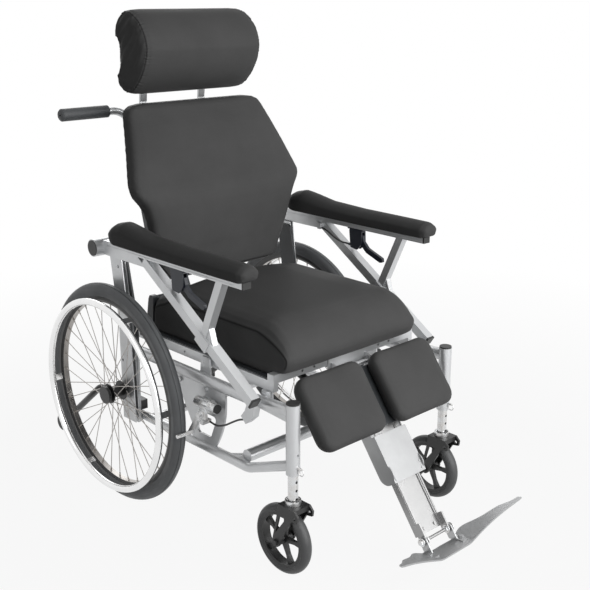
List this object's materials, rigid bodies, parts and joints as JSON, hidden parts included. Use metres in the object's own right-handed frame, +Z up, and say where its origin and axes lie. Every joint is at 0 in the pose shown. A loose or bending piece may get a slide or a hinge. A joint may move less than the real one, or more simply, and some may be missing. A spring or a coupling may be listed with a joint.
{
  "type": "tilt in space wheelchair",
  "caption": "Wheelchair whose cushioned seat tilts back as a whole, with a reclining back, headrest, spoked rear wheels, casters and a lifting leg rest.",
  "frame": {"origin": "on the floor, in the middle of the length and of the width", "axes": "+Z up, -Y to the front, +X to the occupant's left"},
  "size_m": [0.79, 1.3668, 1.3124],
  "materials": {
    "frame_paint": "satin silver-grey lacquer",
    "aluminium_sheet": "fine brushed",
    "aluminium_profile": "bright anodised",
    "zinc": "bright zinc plated",
    "spoke_steel": "polished",
    "handrim_alloy": "anodised satin",
    "black_metal": "semi-gloss black powder coat",
    "dark_metal": "satin dark grey powder coat",
    "black_plastic": "fine textured",
    "lever_plastic": "satin navy-charcoal",
    "vinyl": "coated fabric with a soft sheen",
    "pad_foam": "self-skinned foam",
    "tyre_grey": "fine ribbed",
    "caster_rubber": "smooth solid",
    "cable_black": "smooth sheath",
    "grip_rubber": "ribbed"
  },
  "bodies": {
    "base": {"base_side_left": "frame_paint", "base_side_right": "frame_paint", "axle_plate_left": "black_metal", "axle_plate_right": "black_metal", "upright_left": "frame_paint", "upright_right": "frame_paint", "cross_tubes": "frame_paint", "arm_frame_left": "frame_paint", "arm_frame_right": "frame_paint", "arm_pad_left": "pad_foam", "arm_pad_right": "pad_foam", "tube_plugs": "black_plastic", "lever_brackets": "lever_plastic", "brake_mount_left": "zinc", "brake_mount_right": "zinc", "bowden_cables": "cable_black", "antitip_tubes": "black_metal", "caster_housing_left": "frame_paint", "caster_housing_right": "frame_paint", "caster_stems": "zinc"},
    "seat": {"seat_frame": "frame_paint", "seat_pan": "dark_metal", "seat_cushion": "vinyl", "leg_hanger": "dark_metal"},
    "back": {"back_frame": "dark_metal", "back_shell": "dark_metal", "back_cushion": "vinyl"},
    "push_handle_left": {"push_handle_left": "frame_paint", "handle_grip_left": "grip_rubber"},
    "push_handle_right": {"push_handle_right": "frame_paint", "handle_grip_right": "grip_rubber"},
    "headrest": {"headrest_bars": "aluminium_sheet", "headrest_cushion": "vinyl"},
    "leg_rest": {"leg_channel": "aluminium_sheet", "calf_plate": "dark_metal", "calf_pads": "vinyl"},
    "leg_slide": {"leg_slide": "aluminium_profile"},
    "foot_plate": {"foot_plate": "aluminium_sheet"},
    "tilt_cylinder": {"tilt_spring_cylinder": "black_metal"},
    "tilt_rod": {"tilt_spring_rod": "spoke_steel"},
    "recline_cylinder": {"recline_spring_cylinder": "black_metal"},
    "recline_rod": {"recline_spring_rod": "spoke_steel"},
    "rear_wheel_left": {"rear_tyre_left": "tyre_grey", "rear_wheel_left": "black_metal", "handrim_left": "handrim_alloy"},
    "caster_fork_left": {"caster_fork_left": "black_metal"},
    "caster_wheel_left": {"caster_core_left": "black_plastic", "caster_tyre_left": "caster_rubber"},
    "antitip_wheel_left": {"antitip_wheel_left": "caster_rubber"},
    "release_lever_left": {"release_lever_left": "lever_plastic"},
    "brake_shoe_left": {"brake_shoe_left": "zinc"},
    "rear_wheel_right": {"rear_tyre_right": "tyre_grey", "rear_wheel_right": "black_metal", "handrim_right": "handrim_alloy"},
    "caster_fork_right": {"caster_fork_right": "black_metal"},
    "caster_wheel_right": {"caster_core_right": "black_plastic", "caster_tyre_right": "caster_rubber"},
    "antitip_wheel_right": {"antitip_wheel_right": "caster_rubber"},
    "release_lever_right": {"release_lever_right": "lever_plastic"},
    "brake_shoe_right": {"brake_shoe_right": "zinc"}
  },
  "joints": [
    {"name": "seat_tilt", "type": "hinge", "parent": "base", "child": "seat", "pos_m": [0, -0.0466, 0.453], "axis": [-1, 0, 0], "range_deg": [0, 25]},
    {"name": "back_recline", "type": "hinge", "parent": "seat", "child": "back", "pos_m": [0, 0.2514, 0.453], "axis": [-1, 0, 0], "range_deg": [0, 30]},
    {"name": "leg_elevation", "type": "hinge", "parent": "seat", "child": "leg_rest", "pos_m": [0, -0.31095, 0.44886], "axis": [-1, 0, 0], "range_deg": [-4, 30]},
    {"name": "leg_length", "type": "slide", "parent": "leg_rest", "child": "leg_slide", "axis": [0, 0.5948, 0.8039], "range_m": [-0.06, 0.02]},
    {"name": "footplate_fold", "type": "hinge", "parent": "leg_slide", "child": "foot_plate", "pos_m": [0, -0.59764, 0.09], "axis": [-1, 0, 0], "range_deg": [0, 85]},
    {"name": "headrest_height", "type": "slide", "parent": "back", "child": "headrest", "axis": [0, 0.2521, 0.9677], "range_m": [-0.017, 0.1]},
    {"name": "tilt_spring_pivot", "type": "hinge", "parent": "base", "child": "tilt_cylinder", "pos_m": [0.07, -0.1856, 0.267], "axis": [-1, 0, 0], "range_deg": [-1, 13]},
    {"name": "tilt_spring_stroke", "type": "slide", "parent": "tilt_cylinder", "child": "tilt_rod", "axis": [0, 0.9071, 0.4209], "range_m": [-0.07, 0.002]},
    {"name": "recline_spring_pivot", "type": "hinge", "parent": "seat", "child": "recline_cylinder", "pos_m": [-0.07, -0.1516, 0.424], "axis": [-1, 0, 0], "range_deg": [-4, 1]},
    {"name": "recline_spring_stroke", "type": "slide", "parent": "recline_cylinder", "child": "recline_rod", "axis": [0, 0.9988, -0.0485], "range_m": [-0.035, 0.002]},
    {"name": "rear_wheel_spin_left", "type": "hinge", "parent": "base", "child": "rear_wheel_left", "pos_m": [0.3434, 0.2534, 0.305], "axis": [1, 0, 0], "continuous": true},
    {"name": "caster_swivel_left", "type": "hinge", "parent": "base", "child": "caster_fork_left", "pos_m": [0.2785, -0.3866, 0.19], "axis": [0, 0, 1], "continuous": true},
    {"name": "caster_spin_left", "type": "hinge", "parent": "caster_fork_left", "child": "caster_wheel_left", "pos_m": [0.2785, -0.3546, 0.089], "axis": [1, 0, 0], "continuous": true},
    {"name": "antitip_spin_left", "type": "hinge", "parent": "base", "child": "antitip_wheel_left", "pos_m": [0.28, 0.6574, 0.066], "axis": [1, 0, 0], "continuous": true},
    {"name": "release_lever_pull_left", "type": "hinge", "parent": "base", "child": "release_lever_left", "pos_m": [0.318, -0.0386, 0.678], "axis": [-1, 0, 0], "range_deg": [0, 16]},
    {"name": "parking_brake_left", "type": "hinge", "parent": "base", "child": "brake_shoe_left", "pos_m": [0.325, -0.0966, 0.343], "axis": [-1, 0, 0], "range_deg": [0, 25]},
    {"name": "push_handle_swivel_left", "type": "hinge", "parent": "back", "child": "push_handle_left", "pos_m": [0.138, 0.4214, 1.041], "axis": [0, 0.2449, 0.9695], "range_deg": [-90, 0]},
    {"name": "rear_wheel_spin_right", "type": "hinge", "parent": "base", "child": "rear_wheel_right", "pos_m": [-0.3434, 0.2534, 0.305], "axis": [1, 0, 0], "continuous": true},
    {"name": "caster_swivel_right", "type": "hinge", "parent": "base", "child": "caster_fork_right", "pos_m": [-0.2785, -0.3866, 0.19], "axis": [0, 0, 1], "continuous": true},
    {"name": "caster_spin_right", "type": "hinge", "parent": "caster_fork_right", "child": "caster_wheel_right", "pos_m": [-0.2785, -0.3546, 0.089], "axis": [1, 0, 0], "continuous": true},
    {"name": "antitip_spin_right", "type": "hinge", "parent": "base", "child": "antitip_wheel_right", "pos_m": [-0.28, 0.6574, 0.066], "axis": [1, 0, 0], "continuous": true},
    {"name": "release_lever_pull_right", "type": "hinge", "parent": "base", "child": "release_lever_right", "pos_m": [-0.318, -0.0386, 0.678], "axis": [-1, 0, 0], "range_deg": [0, 16]},
    {"name": "parking_brake_right", "type": "hinge", "parent": "base", "child": "brake_shoe_right", "pos_m": [-0.325, -0.0966, 0.343], "axis": [-1, 0, 0], "range_deg": [0, 25]},
    {"name": "push_handle_swivel_right", "type": "hinge", "parent": "back", "child": "push_handle_right", "pos_m": [-0.138, 0.4214, 1.041], "axis": [0, -0.2449, -0.9695], "range_deg": [0, 90]}
  ],
  "couplings": [
    {"joint": "tilt_spring_pivot", "follows": "seat_tilt", "ratio": 0.46239},
    {"joint": "tilt_spring_stroke", "follows": "seat_tilt", "m_per_rad": -0.12677},
    {"joint": "recline_spring_pivot", "follows": "back_recline", "ratio": -0.05283},
    {"joint": "recline_spring_stroke", "follows": "back_recline", "m_per_rad": -0.044624}
  ]
}
